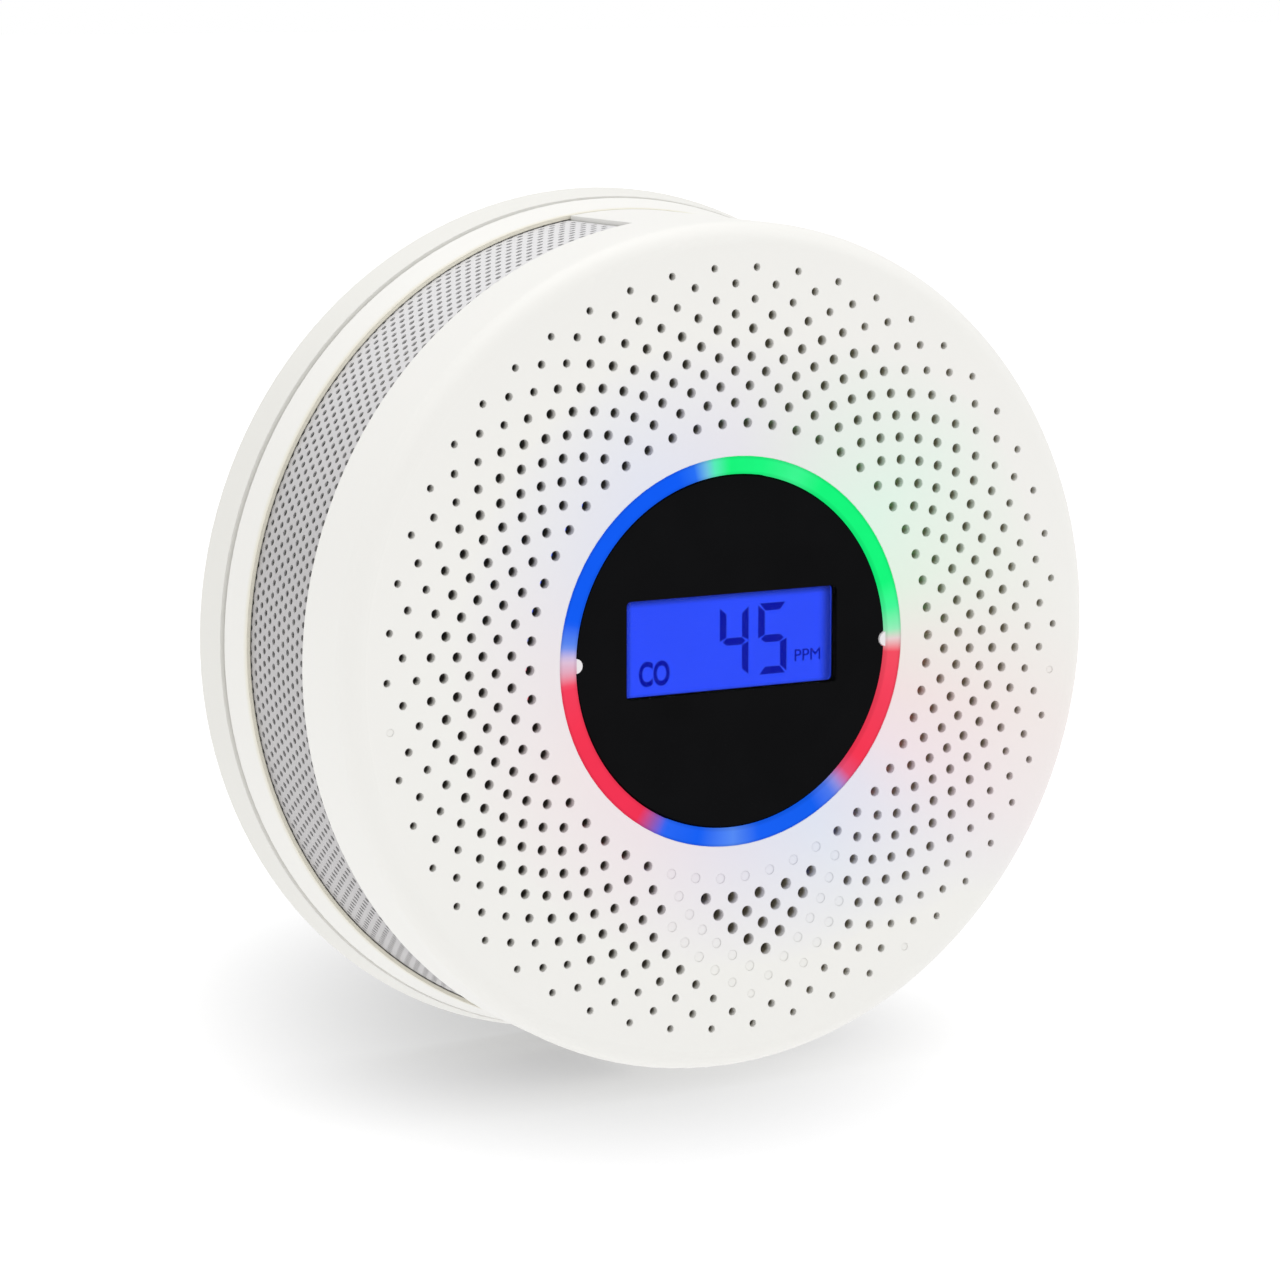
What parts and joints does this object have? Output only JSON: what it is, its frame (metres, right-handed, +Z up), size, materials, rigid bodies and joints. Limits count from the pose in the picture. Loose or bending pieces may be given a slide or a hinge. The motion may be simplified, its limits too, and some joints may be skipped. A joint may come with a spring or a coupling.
{
  "type": "carbon monoxide detector",
  "caption": "Round wall-mounted carbon monoxide alarm with a perforated front, a lit ring, a press-to-test display, screened sides and a twist-off mounting plate.",
  "frame": {"origin": "centre of the mounting plate's rear face, on the wall", "axes": "+Z up as mounted, front facing -Y, X to the right as seen from the front, +Y into the wall"},
  "size_m": [0.12, 0.041, 0.12],
  "materials": {
    "white_abs": "fine satin moulded plastic",
    "white_base": "fine satin moulded plastic",
    "screen_grey": "perforated sheet, satin",
    "diffuser": "milky light guide",
    "clear_lens": "clear polycarbonate",
    "black_abs": "gloss black",
    "lcd_glass": "lit blue liquid crystal glass",
    "light_guide": "clear to milky",
    "elastomer": "zebra strip",
    "fr4": "green solder mask",
    "flex": "amber film",
    "connector": "natural nylon",
    "led": "clear potted package",
    "chip": "moulded epoxy",
    "coil": "ferrite core in shrink sleeve",
    "capacitor": "sleeved can",
    "switch_body": "black nylon",
    "plunger": "natural acetal",
    "horn_black": "black ABS",
    "foam": "closed cell foam",
    "brass": "rolled sheet",
    "piezo": "silvered face",
    "tin": "tinned pins",
    "cell_white": "moulded housing",
    "cap_steel": "nickel-plated cap",
    "ptfe": "porous membrane",
    "screw_steel": "zinc-plated",
    "battery_jacket": "plain printed jacket",
    "spring_steel": "nickel-plated wire",
    "label": "plain label without text"
  },
  "bodies": {
    "mounting_plate": {"mounting_plate": "white_base"},
    "alarm": {"rear_housing": "white_base", "front_cover": "white_abs", "side_screens": "screen_grey", "light_ring": "diffuser", "ribbon_connector": "connector", "main_board": "fr4", "ring_leds": "led", "microcontroller": "chip", "sounder_coil": "coil", "capacitors": "capacitor", "test_switch": "switch_body", "board_screws": "screw_steel", "horn_housing": "horn_black", "horn_gasket": "foam", "piezo_plate": "brass", "piezo_ceramic": "piezo", "horn_contacts": "tin", "co_sensor": "cell_white", "sensor_cap": "cap_steel", "sensor_filter": "ptfe", "sensor_pins": "tin", "cover_screws": "screw_steel", "battery_upper": "battery_jacket", "battery_lower": "battery_jacket", "battery_springs": "spring_steel", "contact_plates": "spring_steel", "door_hinge_pin": "screw_steel"},
    "display_button": {"display_lens": "clear_lens", "button_body": "black_abs", "lcd_panel": "lcd_glass", "lcd_backlight": "light_guide", "lcd_elastomer": "elastomer", "lcd_frame": "switch_body", "display_board": "fr4", "display_ribbon": "flex"},
    "switch_plunger": {"switch_plunger": "plunger"},
    "battery_door": {"battery_door": "white_base", "door_label": "label"}
  },
  "joints": [
    {"name": "bayonet_twist", "type": "hinge", "parent": "mounting_plate", "child": "alarm", "pos_m": [0, 0, 0], "axis": [0, -1, 0], "range_deg": [0, 15]},
    {"name": "test_button_press", "type": "slide", "parent": "alarm", "child": "display_button", "axis": [0, 1, 0], "range_m": [0, 0.0006], "stiffness_N_per_m": 3000, "springref_m": -0.0002},
    {"name": "switch_plunger_travel", "type": "slide", "parent": "alarm", "child": "switch_plunger", "axis": [0, 1, 0], "range_m": [0, 0.0006]},
    {"name": "battery_door_swing", "type": "hinge", "parent": "alarm", "child": "battery_door", "pos_m": [0, -0.0065, -0.0149], "axis": [-1, 0, 0], "range_deg": [0, 95]}
  ],
  "couplings": [
    {"joint": "switch_plunger_travel", "follows": "test_button_press", "ratio": 1}
  ]
}
